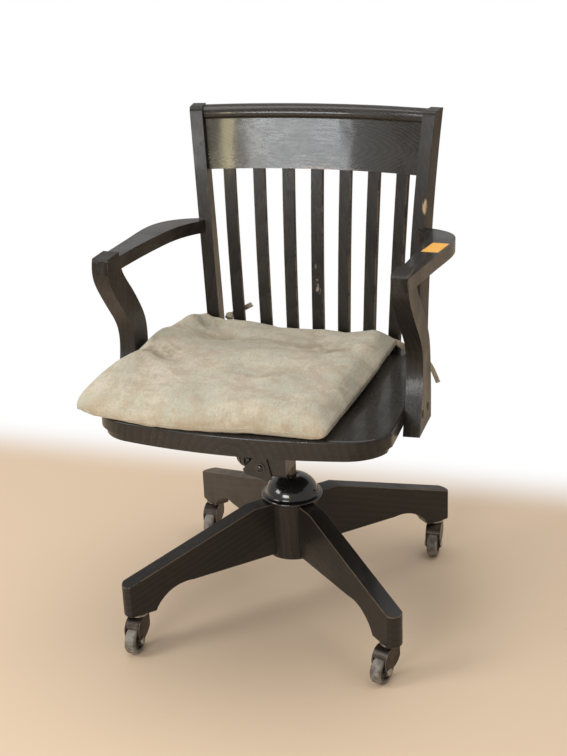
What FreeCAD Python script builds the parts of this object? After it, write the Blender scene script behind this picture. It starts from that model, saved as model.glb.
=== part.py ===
"""Bankers swivel chair: four-legged swivel base on casters, screw-height column,
tilt control, wooden seat, slatted back, open arms and a loose tied cushion.

Millimetres. +Z is up and the seat faces -Y. The origin is on the floor, on the swivel axis.
"""
import FreeCAD, Part
import math
import os

V = FreeCAD.Vector
X_AXIS = V(1, 0, 0)
Y_AXIS = V(0, 1, 0)
Z_AXIS = V(0, 0, 1)
OUT = "parts"
os.makedirs(OUT, exist_ok=True)

# Clearances
RUNNING_GAP = 0.08
BODY_GAP = 0.3
HOLE_GAP = 1.5

# Base: hub and legs
LEG_ANGLES = (46.5, 137.9, 226.5, 316.5)
LEG_THICK = 30.0
LEG_END_R = 323.0
LEG_NOSE = 8.0
LEG_TOP_Z = 201.5
LEG_KNEE_R = 84.0
LEG_END_TOP_Z = 124.5
LEG_UNDER_Z = 103.5
LEG_ARCH_R = 206.0
PAD_Z = 66.0
PAD_IN_R = 279.0
HUB_R = 48.0
HUB_BOTTOM_Z = 98.0
TUBE_WALL = 6.5
WASHER_R = 40.0
WASHER_T = 3.0
WASHER_REST_Z = 197.5
BOLT_R = 4.0
LEG_BOLT_LEN = 70.0
LEG_BOLT_Z = (126.0, 173.0)

# Casters
WHEEL_R = 24.0
WHEEL_W = 20.0
TREAD_T = 7.0
CASTER_TRAIL = 22.0
CASTER_STEM_R = 5.5
CASTER_STEM_LEN = 38.0
CASTER_ANGLES = (-88.0, -92.0, -93.0, -110.0)
CASTER_CENTRE_R = 306.0
SOCKET_WALL = 1.5
SOCKET_FLANGE_R = 16.0
SOCKET_FLANGE_T = 3.0
HORN_T = 2.5
HORN_GAP = 1.2
HORN_TOP_DROP = 1.0
AXLE_R = 3.5

# Height screw and collar
SPINDLE_R = 8.5
SPINDLE_BOTTOM_Z = 112.0
COLLAR_FLANGE_R = 54.0
COLLAR_FLANGE_T = 5.5
COLLAR_LIFT = 1.5
COLLAR_BODY_R = 46.0
COLLAR_TOP_R = 12.0
COLLAR_H = 38.0
COLLAR_DISH = 1.5
SET_SCREW_ANGLE = -10.0
SET_SCREW_R = 4.5

# Tilt control
BOSS_R = 20.0
BOSS_Z = 291.0
BLOCK_X = (-24.0, 10.0)
BLOCK_Y = (-62.0, -11.0)
BLOCK_Z = 263.0
PAN_X = 80.0
PAN_Y = (-62.0, 46.0)
PAN_Z = 301.0
PAN_H = 36.0
PAN_WALL = 4.0
PIVOT_Y = 12.0
PIVOT_Z = 321.0
PIVOT_R = 7.0
KNOB_X = -60.0
KNOB_Y = -27.0
KNOB_R = 29.0
KNOB_H = 22.0
KNOB_TOP_Z = 291.0
KNOB_ROOM = 7.0
KNOB_RISE = 12.0
KNOB_FLUTES = 18
TENSION_BOLT_R = 5.0
SPRING_R = 13.0
SPRING_WIRE = 3.2
SPRING_TURNS = 5
PLATE_T = 4.0
PLATE_X = 110.0
PLATE_Y = (-115.0, 100.0)

# Seat
SEAT_TOP_Z = 449.0
SEAT_SLOPE = 0.06
SEAT_T = 22.0
UNDER_T = 11.0
UNDER_INSET = 8.0
SEAT_FRONT_Y = -304.0
SEAT_BOW = 20.0
SEAT_W = 474.0
SEAT_BACK_W = 408.0
SEAT_BACK_Y = 196.0
SEAT_BACK_BOW = 22.0
SEAT_CORNER = 50.0
PLATE_DEPTH = SEAT_T + UNDER_T
DISH_DEPTH = 8.0
DISH_R = 205.0
EDGE_R = 5.0

# Back
BACK_TOP_Z = 844.0
POST_REF_Z = 491.0
POST_RISE = 346.0
POST_OUT_X = 196.7
POST_FRONT_Y = 148.0
POST_W = 22.0
POST_DEPTH = 46.0
POST_TOP_DEPTH = 38.0
POST_TWIST = 9.0
POST_TOP_ROUND = 9.0
CREST_BOTTOM_Z = 733.0
CREST_TOP_Z = 843.0
CREST_BOW = 24.0
CREST_HALF = 188.0
CREST_FRONT_Y = 190.0
CREST_LEAN = 0.17
CREST_T = 20.0
CREST_BAND_H = 19.0
CREST_BAND_OUT = 7.0
SLAT_COUNT = 7
SLAT_W = 22.0
SLAT_T = 11.0
SLAT_PITCH_TOP = 52.4
SLAT_PITCH_SEAT = 47.6
SLAT_SEAT_Y = 175.0
SLAT_SEAT_BOW = 17.0
SLAT_TENON = 10.0

# Arms
ARM_TOP_Z = 672.0
ARM_DROP = 0.0697
ARM_T = 22.0
ARM_NOSE_Y = -192.0
ARM_OUT_X = 253.0
SUPPORT_W = 27.0
SUPPORT_FOOT_Z = 399.0
SUPPORT_LEAN = 1.3
PLUG_R = 7.0
PLUG_T = 2.0
ARM_BOLT_LEN = 55.0
ARM_SCREW_R = 3.0

# Cushion
CUSHION_BASE_GAP = 0.4
CUSHION_T = 50.0
TUFT_DEPTH = 6.0
TUFT_R = 45.0
TUFTS = ((-175.0, -125.0), (-20.0, -124.0), (-140.0, 40.0), (68.0, 40.0))


def save(name, shape):
    shape.exportStep(os.path.join(OUT, name + ".step"))


def box(x0, x1, y0, y1, z0, z1):
    return Part.makeBox(x1 - x0, y1 - y0, z1 - z0, V(x0, y0, z0))


def rod(radius, start, end):
    axis = end - start
    return Part.makeCylinder(radius, axis.Length, start, axis)


def polar(radius, degrees, z=0.0):
    a = math.radians(degrees)
    return V(radius * math.cos(a), radius * math.sin(a), z)


def turned(shape, degrees, about=V(0, 0, 0), axis=Z_AXIS):
    out = shape.copy()
    out.rotate(about, axis, degrees)
    return out


def mirrored(shape):
    return shape.mirror(V(0, 0, 0), X_AXIS)


def polyline(points):
    return Part.makePolygon(list(points) + [points[0]])


def prism(wire, direction):
    return Part.Face(wire).extrude(direction)


def smooth(points):
    curve = Part.BSplineCurve()
    curve.interpolate(points)
    return curve.toShape()


def line(a, b):
    return Part.LineSegment(a, b).toShape()


def arc(a, b, c):
    return Part.Arc(a, b, c).toShape()


def seat_level(y, depth=0.0):
    """Height of the seat's top plane at y, or of a plane that lies depth below it."""
    return SEAT_TOP_Z - depth - SEAT_SLOPE * (y - SEAT_FRONT_Y)


def sloped(shape):
    """Tip a piece made level at the seat's front edge to the seat's backward slope."""
    return turned(shape, -math.degrees(math.atan(SEAT_SLOPE)), V(0, SEAT_FRONT_Y, SEAT_TOP_Z), X_AXIS)


def softened(shape, radius, wanted):
    """Round the edges whose middle point is accepted by wanted()."""
    edges = [e for e in shape.Edges if wanted(e.valueAt((e.FirstParameter + e.LastParameter) / 2))]
    return shape.makeFillet(radius, edges) if edges else shape


# Swivel base
def hub_column():
    body = Part.makeCylinder(HUB_R, LEG_TOP_Z - HUB_BOTTOM_Z, V(0, 0, HUB_BOTTOM_Z))
    bore = Part.makeCylinder(SPINDLE_R + TUBE_WALL, LEG_TOP_Z, V(0, 0, 0))
    seat = Part.makeCylinder(WASHER_R + BODY_GAP, WASHER_T * 2, V(0, 0, WASHER_REST_Z))
    return body.cut(bore).cut(seat)


def bearing_tube():
    height = WASHER_REST_Z - HUB_BOTTOM_Z
    outer = Part.makeCylinder(SPINDLE_R + TUBE_WALL, height, V(0, 0, HUB_BOTTOM_Z))
    return outer.cut(Part.makeCylinder(SPINDLE_R + RUNNING_GAP, height, V(0, 0, HUB_BOTTOM_Z)))


def washer(z, bore):
    ring = Part.makeCylinder(WASHER_R, WASHER_T, V(0, 0, z))
    return ring.cut(Part.makeCylinder(bore, WASHER_T, V(0, 0, z)))


def leg_blank():
    """One leg lying along +X: sloping top, arched underside, rounded nose."""
    y = -LEG_THICK / 2
    inner = HUB_R - 10
    slope = (LEG_TOP_Z - LEG_END_TOP_Z) / (LEG_END_R - LEG_KNEE_R)
    tip = LEG_END_R + LEG_NOSE
    tip_z = LEG_END_TOP_Z - slope * LEG_NOSE
    foot = V(PAD_IN_R, y, PAD_Z)
    arch = V(LEG_ARCH_R, y, LEG_UNDER_Z)
    bend = V(PAD_IN_R - 0.28 * (PAD_IN_R - LEG_ARCH_R), y, PAD_Z + 0.66 * (LEG_UNDER_Z - PAD_Z))
    edges = [
        line(V(inner, y, LEG_UNDER_Z), V(inner, y, LEG_TOP_Z)),
        line(V(inner, y, LEG_TOP_Z), V(LEG_KNEE_R, y, LEG_TOP_Z)),
        line(V(LEG_KNEE_R, y, LEG_TOP_Z), V(tip, y, tip_z)),
        line(V(tip, y, tip_z), V(tip, y, PAD_Z)),
        line(V(tip, y, PAD_Z), foot),
        arc(foot, bend, arch),
        line(arch, V(inner, y, LEG_UNDER_Z)),
    ]
    side = prism(Part.Wire(edges), V(0, LEG_THICK, 0))
    plan = Part.Wire([
        line(V(0, y, 0), V(LEG_END_R, y, 0)),
        arc(V(LEG_END_R, y, 0), V(tip, 0, 0), V(LEG_END_R, -y, 0)),
        line(V(LEG_END_R, -y, 0), V(0, -y, 0)),
        line(V(0, -y, 0), V(0, y, 0)),
    ])
    blank = side.common(prism(plan, V(0, 0, LEG_TOP_Z + 10)))
    return blank.cut(Part.makeCylinder(HUB_R, LEG_TOP_Z + 10))


def leg_bolt(z):
    start = SPINDLE_R + TUBE_WALL + 3
    return rod(BOLT_R, V(start, 0, z), V(start + LEG_BOLT_LEN, 0, z))


def caster_socket():
    """Pressed steel socket with a flange under the leg, for the caster's stem."""
    top = PAD_Z + CASTER_STEM_LEN
    sleeve = Part.makeCylinder(CASTER_STEM_R + RUNNING_GAP + SOCKET_WALL, top - PAD_Z, V(0, 0, PAD_Z))
    flange = Part.makeCylinder(SOCKET_FLANGE_R, SOCKET_FLANGE_T, V(0, 0, PAD_Z - SOCKET_FLANGE_T))
    bore = Part.makeCylinder(CASTER_STEM_R + RUNNING_GAP, top, V(0, 0, 0))
    return sleeve.fuse(flange).cut(bore)


def caster_horn():
    """Stem, hooded crown and two cheeks that carry the wheel, trailing along +X."""
    crown_top = PAD_Z - SOCKET_FLANGE_T - HORN_TOP_DROP
    crown_bottom = 2 * WHEEL_R + HORN_GAP
    half = WHEEL_W / 2 + HORN_GAP + HORN_T
    tip = V(CASTER_TRAIL, 0, WHEEL_R)
    cheek = 8.0
    back = 15.0
    edges = [
        line(V(-back, 0, crown_top), V(back - 1, 0, crown_top)),
        arc(V(back - 1, 0, crown_top), V(CASTER_TRAIL + 6, 0, crown_top - 9),
            V(CASTER_TRAIL + 10, 0, crown_bottom - 9)),
        line(V(CASTER_TRAIL + 10, 0, crown_bottom - 9), V(tip.x + cheek, 0, tip.z)),
        arc(V(tip.x + cheek, 0, tip.z), V(tip.x, 0, tip.z - cheek), V(tip.x - cheek, 0, tip.z)),
        arc(V(tip.x - cheek, 0, tip.z), V(-3, 0, 0.6 * crown_bottom), V(-back, 0, crown_bottom)),
        line(V(-back, 0, crown_bottom), V(-back, 0, crown_top)),
    ]
    side = prism(Part.Wire(edges), V(0, 2 * half, 0))
    side.translate(V(0, -half, 0))
    slot = Part.makeCylinder(WHEEL_R + HORN_GAP, WHEEL_W + 2 * HORN_GAP,
                             V(tip.x, -WHEEL_W / 2 - HORN_GAP, tip.z), Y_AXIS)
    under = box(-back - 1, tip.x, -WHEEL_W / 2 - HORN_GAP, WHEEL_W / 2 + HORN_GAP,
                0, crown_bottom - 2)
    front = box(tip.x, tip.x + 2 * WHEEL_R, -WHEEL_W / 2 - HORN_GAP, WHEEL_W / 2 + HORN_GAP,
                0, crown_bottom - 6)
    round_off = Part.makeCylinder(half + 4, 200, V(0, 0, 0)).fuse(
        box(0, 60, -half, half, 0, 200))
    fork = side.common(round_off).cut(slot).cut(under).cut(front)
    fork = fork.cut(rod(AXLE_R, V(tip.x, -half, tip.z), V(tip.x, half, tip.z)))
    plate = Part.makeCylinder(SOCKET_FLANGE_R - 3, HORN_TOP_DROP - BODY_GAP, V(0, 0, crown_top))
    stem = Part.makeCylinder(CASTER_STEM_R, CASTER_STEM_LEN - 2 + SOCKET_FLANGE_T + HORN_TOP_DROP,
                             V(0, 0, crown_top))
    return fork.fuse(plate).fuse(stem)


def caster_axle():
    half = WHEEL_W / 2 + HORN_GAP + HORN_T
    x = CASTER_TRAIL
    shaft = rod(AXLE_R, V(x, -half, WHEEL_R), V(x, half, WHEEL_R))
    for side in (-1, 1):
        head = rod(AXLE_R + 2.5, V(x, side * half, WHEEL_R), V(x, side * (half + 2.5), WHEEL_R))
        shaft = shaft.fuse(head)
    return shaft


def wheel_core():
    """Dark wheel centre with a raised hub and a dished web."""
    x = CASTER_TRAIL
    rim_r = WHEEL_R - TREAD_T
    half = WHEEL_W / 2
    core = rod(rim_r, V(x, -half, WHEEL_R), V(x, half, WHEEL_R))
    dish = rod(rim_r - 3, V(x, half - 3, WHEEL_R), V(x, half + 1, WHEEL_R))
    hub = rod(7.0, V(x, half - 4, WHEEL_R), V(x, half, WHEEL_R))
    hollow = dish.cut(hub)
    core = core.cut(hollow).cut(turned(hollow, 180, V(x, 0, WHEEL_R)))
    return core.cut(rod(AXLE_R + RUNNING_GAP, V(x, -half - 1, WHEEL_R), V(x, half + 1, WHEEL_R)))


def wheel_tread():
    x = CASTER_TRAIL
    half = WHEEL_W / 2 - 0.5
    tyre = rod(WHEEL_R, V(x, -half, WHEEL_R), V(x, half, WHEEL_R))
    tyre = tyre.makeFillet(4.0, [e for e in tyre.Edges if abs(e.Length - 2 * math.pi * WHEEL_R) < 1])
    return tyre.cut(rod(WHEEL_R - TREAD_T, V(x, -half, WHEEL_R), V(x, half, WHEEL_R)))


def build_base():
    bolt_holes = []
    bolts = []
    sockets = []
    for k, angle in enumerate(LEG_ANGLES):
        for z in LEG_BOLT_Z:
            bolts.append(turned(leg_bolt(z), angle))
        leg = leg_blank()
        sleeve_r = CASTER_STEM_R + RUNNING_GAP + SOCKET_WALL
        leg = leg.cut(Part.makeCylinder(sleeve_r, CASTER_STEM_LEN, V(CASTER_CENTRE_R, 0, PAD_Z)))
        for z in LEG_BOLT_Z:
            leg = leg.cut(leg_bolt(z))
        save("leg_%d" % (k + 1), turned(leg, angle))
        where = polar(CASTER_CENTRE_R, angle)
        socket = caster_socket()
        socket.translate(where)
        sockets.append(socket)
        parts = {
            "caster_horn": caster_horn(),
            "caster_axle": caster_axle(),
            "wheel_core": wheel_core(),
            "wheel_tread": wheel_tread(),
        }
        for name, shape in parts.items():
            placed = turned(shape, CASTER_ANGLES[k])
            placed.translate(where)
            save("%s_%d" % (name, k + 1), placed)
    hub = hub_column()
    for bolt in bolts:
        hub = hub.cut(bolt)
    save("hub_column", hub)
    save("bearing_tube", bearing_tube())
    save("lower_washer", washer(WASHER_REST_Z, SPINDLE_R + HOLE_GAP))
    save("leg_bolts", Part.makeCompound(bolts))
    save("caster_sockets", Part.makeCompound(sockets))


# Height screw, collar and tilt control
def height_collar():
    """Domed nut with a wide flange and a shallow dished top, on the upper washer."""
    z0 = WASHER_REST_Z + 2 * WASHER_T
    flange_z = LEG_TOP_Z + COLLAR_LIFT
    flange_top = flange_z + COLLAR_FLANGE_T
    top = flange_z + COLLAR_H
    bore = SPINDLE_R + BODY_GAP
    shoulder = flange_top + 5
    bend = V(COLLAR_TOP_R + 0.75 * (COLLAR_BODY_R - COLLAR_TOP_R), 0,
             shoulder + 0.57 * (top - shoulder))
    edges = [
        line(V(bore, 0, z0), V(WASHER_R, 0, z0)),
        line(V(WASHER_R, 0, z0), V(WASHER_R, 0, flange_z)),
        line(V(WASHER_R, 0, flange_z), V(COLLAR_FLANGE_R - 1, 0, flange_z)),
        arc(V(COLLAR_FLANGE_R - 1, 0, flange_z), V(COLLAR_FLANGE_R, 0, flange_z + 2.5),
            V(COLLAR_FLANGE_R - 2, 0, flange_top)),
        arc(V(COLLAR_FLANGE_R - 2, 0, flange_top), V(COLLAR_BODY_R + 1.6, 0, flange_top + 1.2),
            V(COLLAR_BODY_R, 0, shoulder)),
        arc(V(COLLAR_BODY_R, 0, shoulder), bend, V(COLLAR_TOP_R, 0, top)),
        line(V(COLLAR_TOP_R, 0, top), V(COLLAR_TOP_R - 1, 0, top - COLLAR_DISH)),
        line(V(COLLAR_TOP_R - 1, 0, top - COLLAR_DISH), V(bore, 0, top - COLLAR_DISH)),
        line(V(bore, 0, top - COLLAR_DISH), V(bore, 0, z0)),
    ]
    return Part.Face(Part.Wire(edges)).revolve(V(0, 0, 0), Z_AXIS, 360)


def collar_set_screw():
    z = LEG_TOP_Z + COLLAR_LIFT + COLLAR_FLANGE_T + 7
    inner = polar(SPINDLE_R + 1, SET_SCREW_ANGLE, z)
    return rod(SET_SCREW_R, inner, polar(COLLAR_BODY_R + 0.3, SET_SCREW_ANGLE, z))


def control_housing():
    """Cast boss and block under a pressed pan, with the front lug that carries the stop bolt."""
    top = PAN_Z + PAN_H
    boss = Part.makeCylinder(BOSS_R, PAN_Z - BOSS_Z, V(0, 0, BOSS_Z))
    block = box(BLOCK_X[0], BLOCK_X[1], BLOCK_Y[0], BLOCK_Y[1], BLOCK_Z, PAN_Z)
    block = softened(block, 5.0, lambda p: abs(p.z - BLOCK_Z) < 0.1)
    pan = box(-PAN_X, PAN_X, PAN_Y[0], PAN_Y[1], PAN_Z, top)
    pan = softened(pan, 6.0, lambda p: abs(p.z - PAN_Z) < 0.1)
    inside = box(-PAN_X + PAN_WALL, PAN_X - PAN_WALL, PAN_Y[0] + PAN_WALL, PAN_Y[1] - PAN_WALL,
                 PAN_Z + PAN_WALL, top + 1)
    knob_room = Part.makeCylinder(KNOB_R + KNOB_ROOM, KNOB_RISE + 1, V(KNOB_X, KNOB_Y, PAN_Z - 1))
    shelf = box(-PAN_X + PAN_WALL, BLOCK_X[0], PAN_Y[0] + PAN_WALL, KNOB_Y + SPRING_R * 2,
                top - PAN_WALL, top)
    lug_points = [V(-66, 0, 275), V(-62, 0, 267), V(-52, 0, 264), V(-22, 0, 258), V(-14, 0, 260),
                  V(-22, 0, 295), V(-22, 0, 323), V(-50, 0, 323), V(-47, 0, 297)]
    lug = prism(polyline(lug_points), V(0, PAN_WALL, 0))
    lug.translate(V(0, PAN_Y[0] - PAN_WALL, 0))
    spring_hole = Part.makeCylinder(SPRING_R + SPRING_WIRE + 2, PAN_WALL * 3,
                                    V(KNOB_X, KNOB_Y, PAN_Z - PAN_WALL))
    bolt_hole = Part.makeCylinder(TENSION_BOLT_R + 4, PAN_WALL * 3,
                                  V(KNOB_X, KNOB_Y, top - 2 * PAN_WALL))
    bore = Part.makeCylinder(SPINDLE_R, PAN_Z + PAN_WALL, V(0, 0, 0))
    body = boss.fuse(block).fuse(pan.cut(inside).cut(knob_room)).fuse(shelf).fuse(lug)
    body = body.cut(spring_hole).cut(bolt_hole).cut(bore)
    return body.cut(rod(PIVOT_R, V(-PAN_X, PIVOT_Y, PIVOT_Z), V(PAN_X, PIVOT_Y, PIVOT_Z)))


def stop_bolt():
    """Round-headed bolt with a washer on the front lug."""
    x, z = -34.5, 280.5
    front = PAN_Y[0] - PAN_WALL
    head = Part.makeSphere(8.2, V(x, front + 3.5, z))
    head = head.common(box(x - 10, x + 10, front - 10, front - 1.5, z - 10, z + 10))
    ring = rod(9.0, V(x, front - 1.5, z), V(x, front, z))
    shank = rod(BOLT_R, V(x, front, z), V(x, PAN_Y[0] + 1, z))
    return head.fuse(ring).fuse(shank)


def tension_knob():
    """Fluted cup-shaped hand knob on the tension bolt."""
    bottom = KNOB_TOP_Z - KNOB_H
    c = V(KNOB_X, KNOB_Y, 0)
    edges = [
        line(V(0, 0, bottom), V(KNOB_R * 0.66, 0, bottom)),
        arc(V(KNOB_R * 0.66, 0, bottom), V(KNOB_R * 0.93, 0, bottom + KNOB_H * 0.4),
            V(KNOB_R, 0, KNOB_TOP_Z)),
        line(V(KNOB_R, 0, KNOB_TOP_Z), V(0, 0, KNOB_TOP_Z)),
        line(V(0, 0, KNOB_TOP_Z), V(0, 0, bottom)),
    ]
    knob = Part.Face(Part.Wire(edges)).revolve(V(0, 0, 0), Z_AXIS, 360)
    flute = Part.makeCylinder(2.2, KNOB_H * 2, V(KNOB_R + 0.9, 0, bottom - KNOB_H / 2))
    flute.rotate(V(KNOB_R, 0, KNOB_TOP_Z), Y_AXIS, 14)
    for k in range(KNOB_FLUTES):
        knob = knob.cut(turned(flute, 360.0 * k / KNOB_FLUTES))
    knob = knob.cut(Part.makeCylinder(TENSION_BOLT_R + RUNNING_GAP, KNOB_H * 2, V(0, 0, bottom - 1)))
    knob.translate(c)
    return knob


def tension_bolt():
    bottom = KNOB_TOP_Z - KNOB_H - 6
    plate_z = seat_level(KNOB_Y, PLATE_DEPTH + PLATE_T)
    shank = Part.makeCylinder(TENSION_BOLT_R, plate_z - bottom, V(KNOB_X, KNOB_Y, bottom))
    head = Part.makeCylinder(TENSION_BOLT_R + 4, 5, V(KNOB_X, KNOB_Y, plate_z - 5))
    nut = Part.makeCylinder(TENSION_BOLT_R + 3.5, 5.5, V(KNOB_X, KNOB_Y, bottom))
    return shank.fuse(head).fuse(nut)


def tilt_spring():
    """Compression spring between the knob and the housing's shelf, closed by its own wire ends."""
    z0 = KNOB_TOP_Z + SPRING_WIRE / 2 + BODY_GAP
    z1 = PAN_Z + PAN_H - PAN_WALL - SPRING_WIRE / 2 - BODY_GAP
    pitch = (z1 - z0) / SPRING_TURNS
    path = Part.Wire(Part.makeHelix(pitch, z1 - z0, SPRING_R).Edges)
    start = path.Edges[0].valueAt(path.Edges[0].FirstParameter)
    tangent = path.Edges[0].tangentAt(path.Edges[0].FirstParameter)
    profile = Part.Wire(Part.makeCircle(SPRING_WIRE / 2, start, tangent))
    coil = path.makePipeShell([profile], True, True)
    coil.translate(V(KNOB_X, KNOB_Y, z0))
    return coil


def seat_plate():
    """Flat plate under the seat with two ears down to the pivot shaft."""
    z = SEAT_TOP_Z - PLATE_DEPTH - PLATE_T
    plate = box(-PLATE_X, PLATE_X, PLATE_Y[0], PLATE_Y[1], z, z + PLATE_T)
    plate = softened(plate, 15.0, lambda p: abs(abs(p.x) - PLATE_X) < 0.1
                     and (abs(p.y - PLATE_Y[0]) < 0.1 or abs(p.y - PLATE_Y[1]) < 0.1))
    ear_x = PAN_X + 1
    front_y, back_y = PIVOT_Y - 50, PIVOT_Y + 50
    ear_depth = PLATE_DEPTH + PLATE_T / 2
    outline = [V(ear_x, front_y, seat_level(front_y, ear_depth)),
               V(ear_x, back_y, seat_level(back_y, ear_depth)),
               V(ear_x, PIVOT_Y + 16, PIVOT_Z + 4), V(ear_x, PIVOT_Y + 9, PIVOT_Z - 12),
               V(ear_x, PIVOT_Y - 9, PIVOT_Z - 12), V(ear_x, PIVOT_Y - 16, PIVOT_Z + 4)]
    ear = prism(polyline(outline), V(PLATE_T, 0, 0))
    plate = sloped(plate).fuse(ear).fuse(mirrored(ear))
    reach = ear_x + PLATE_T
    shaft = rod(PIVOT_R + RUNNING_GAP, V(-reach, PIVOT_Y, PIVOT_Z), V(reach, PIVOT_Y, PIVOT_Z))
    return plate.cut(shaft)


def pivot_shaft():
    reach = PAN_X + 1 + PLATE_T + 9
    return rod(PIVOT_R, V(-reach, PIVOT_Y, PIVOT_Z), V(reach, PIVOT_Y, PIVOT_Z))


def pivot_nuts():
    nuts = []
    for side in (-1, 1):
        x0 = side * (PAN_X + 1 + PLATE_T + BODY_GAP)
        outer = Part.makeCylinder(PIVOT_R + 4.5, 6, V(x0, PIVOT_Y, PIVOT_Z), V(side, 0, 0))
        nuts.append(outer.cut(pivot_shaft()))
    return Part.makeCompound(nuts)


def plate_screw_points():
    xs = (-PLATE_X + 16, PLATE_X - 16)
    ys = (PLATE_Y[0] + 18, (PLATE_Y[0] + PLATE_Y[1]) / 2, PLATE_Y[1] - 18)
    return [(x, y) for x in xs for y in ys]


def plate_screws():
    z = SEAT_TOP_Z - PLATE_DEPTH - PLATE_T
    screws = []
    for x, y in plate_screw_points():
        head = Part.makeCylinder(6.0, 2.5, V(x, y, z - 2.5))
        shank = Part.makeCylinder(2.5, PLATE_T + UNDER_T + 9, V(x, y, z))
        screws.append(sloped(head.fuse(shank)))
    return Part.makeCompound(screws)


def build_mechanism():
    save("upper_washer", washer(WASHER_REST_Z + WASHER_T, SPINDLE_R + HOLE_GAP))
    screw = collar_set_screw()
    save("height_collar", height_collar().cut(screw))
    save("collar_set_screw", screw)
    spindle_top = PAN_Z + PAN_WALL
    save("spindle", rod(SPINDLE_R, V(0, 0, SPINDLE_BOTTOM_Z), V(0, 0, spindle_top)))
    bolt = stop_bolt()
    save("control_housing", control_housing().cut(bolt))
    save("stop_bolt", bolt)
    save("pivot_shaft", pivot_shaft())
    save("pivot_nuts", pivot_nuts())
    pull = tension_bolt()
    save("tension_bolt", pull)
    save("tension_knob", tension_knob())
    save("tilt_spring", tilt_spring())
    screws = plate_screws()
    save("seat_plate", seat_plate().cut(screws).cut(pull))
    save("plate_screws", screws)
    return screws


# Seat
def seat_outline(inset, front_inset=0.0):
    """Bowed front, rounded front corners, sides drawn in towards the back."""
    half = SEAT_W / 2 - inset
    back = SEAT_BACK_W / 2 - inset
    front = SEAT_FRONT_Y + front_inset
    side_y = front + SEAT_BOW + SEAT_CORNER
    corner_x = half - SEAT_CORNER
    left_front = V(-corner_x, front + SEAT_BOW, 0)
    right_front = V(corner_x, front + SEAT_BOW, 0)
    right_mid = V(half - 0.36 * SEAT_CORNER, side_y - 0.62 * SEAT_CORNER, 0)
    left_mid = V(-right_mid.x, right_mid.y, 0)
    waist = V(half - 6, -100, 0)
    edges = [
        arc(left_front, V(0, front, 0), right_front),
        arc(right_front, right_mid, V(half, side_y, 0)),
        arc(V(half, side_y, 0), waist, V(back, SEAT_BACK_Y, 0)),
        arc(V(back, SEAT_BACK_Y, 0), V(0, SEAT_BACK_Y + SEAT_BACK_BOW - inset, 0),
            V(-back, SEAT_BACK_Y, 0)),
        arc(V(-back, SEAT_BACK_Y, 0), V(-waist.x, waist.y, 0), V(-half, side_y, 0)),
        arc(V(-half, side_y, 0), left_mid, left_front),
    ]
    return Part.Wire(edges)


def seat_board():
    """Solid seat, dished on top, with softened edges."""
    wire = seat_outline(0.0)
    wire.translate(V(0, 0, SEAT_TOP_Z - SEAT_T))
    board = prism(wire, V(0, 0, SEAT_T))
    board = softened(board, EDGE_R, lambda p: abs(p.z - SEAT_TOP_Z) < 0.1)
    ball_r = (DISH_R ** 2 + DISH_DEPTH ** 2) / (2 * DISH_DEPTH)
    ball = Part.makeSphere(ball_r, V(0, -60, SEAT_TOP_Z - DISH_DEPTH + ball_r))
    return sloped(board.cut(ball))


def seat_underlayer():
    wire = seat_outline(UNDER_INSET, 0.5)
    wire.translate(V(0, 0, SEAT_TOP_Z - SEAT_T - UNDER_T))
    return sloped(prism(wire, V(0, 0, UNDER_T)))


# Back
def post_front_corner(z):
    """Outer front corner of the right post at height z: leans back and outwards."""
    t = (z - POST_REF_Z) / POST_RISE
    return V(POST_OUT_X + 11.0 * t + 10.0 * t * t, POST_FRONT_Y + 8.0 * t + 25.0 * t * t, z)


def back_post(side):
    sections = []
    foot_z = seat_level(POST_FRONT_Y + POST_DEPTH, SEAT_T + UNDER_T)
    steps = 5
    for k in range(steps + 1):
        z = foot_z + (BACK_TOP_Z - foot_z) * k / steps
        t = (z - POST_REF_Z) / (BACK_TOP_Z - POST_REF_Z)
        depth = POST_DEPTH + (POST_TOP_DEPTH - POST_DEPTH) * max(t, 0.0)
        corner = post_front_corner(z)
        a = math.radians(POST_TWIST)
        across = V(-math.cos(a), math.sin(a), 0) * POST_W
        along = V(math.sin(a), math.cos(a), 0) * depth
        points = [corner, corner + across, corner + across + along, corner + along]
        if side < 0:
            points = [V(-p.x, p.y, p.z) for p in points]
        sections.append(polyline(points))
    post = Part.makeLoft(sections, True, False)
    nose = post_front_corner(BACK_TOP_Z)
    return softened(post, POST_TOP_ROUND, lambda p: abs(p.z - BACK_TOP_Z) < 0.1
                    and p.y < nose.y + 5 and abs(abs(p.x) - nose.x + POST_W / 2) < POST_W / 3)


def crest_y(x, z):
    """Front face of the crest rail: bowed backwards in the middle, leaning back."""
    bow = CREST_BOW * (1 - (x / CREST_HALF) ** 2)
    return CREST_FRONT_Y + bow + CREST_LEAN * (z - CREST_BOTTOM_Z)


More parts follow.
